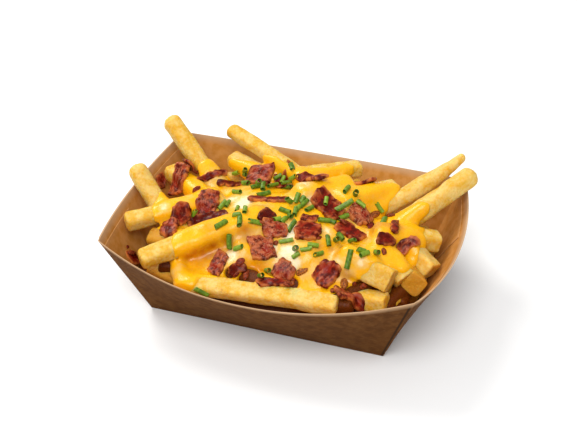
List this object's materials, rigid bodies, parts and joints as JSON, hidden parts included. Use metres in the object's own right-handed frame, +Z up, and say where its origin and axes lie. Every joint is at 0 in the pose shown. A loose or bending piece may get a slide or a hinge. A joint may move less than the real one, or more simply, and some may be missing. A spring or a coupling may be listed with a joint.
{
  "type": "cheese fries in a board boat tray",
  "caption": "Open board boat tray with leaning, bowed walls, heaped with fries under melted cheese sauce, cut bacon and chives.",
  "frame": {"origin": "middle of the tray's flat underside", "axes": "+X along the tray's length to the right, +Y to its back, +Z up"},
  "size_m": [0.2052, 0.162, 0.0785],
  "materials": {
    "board": "matt brown board",
    "potato": "golden fried potato",
    "cheese": "glossy melted cheese",
    "meat": "crisp fried bacon"
  },
  "bodies": {
    "root": {"tray": "board", "fries": "potato", "cheese_sauce": "cheese", "bacon_01": "meat", "bacon_02": "meat", "bacon_03": "meat", "bacon_04": "meat", "bacon_05": "meat", "bacon_06": "meat", "bacon_07": "meat", "bacon_08": "meat", "bacon_09": "meat", "bacon_10": "meat", "bacon_11": "meat", "bacon_12": "meat", "bacon_13": "meat", "bacon_14": "meat", "bacon_15": "meat", "bacon_16": "meat", "bacon_17": "meat", "bacon_18": "meat", "bacon_19": "meat", "bacon_20": "meat", "bacon_21": "meat", "bacon_22": "meat", "bacon_23": "meat", "bacon_24": "meat", "bacon_25": "meat", "bacon_26": "meat", "bacon_27": "meat", "bacon_28": "meat", "bacon_29": "meat", "bacon_30": "meat", "bacon_31": "meat", "bacon_32": "meat"}
  },
  "joints": []
}
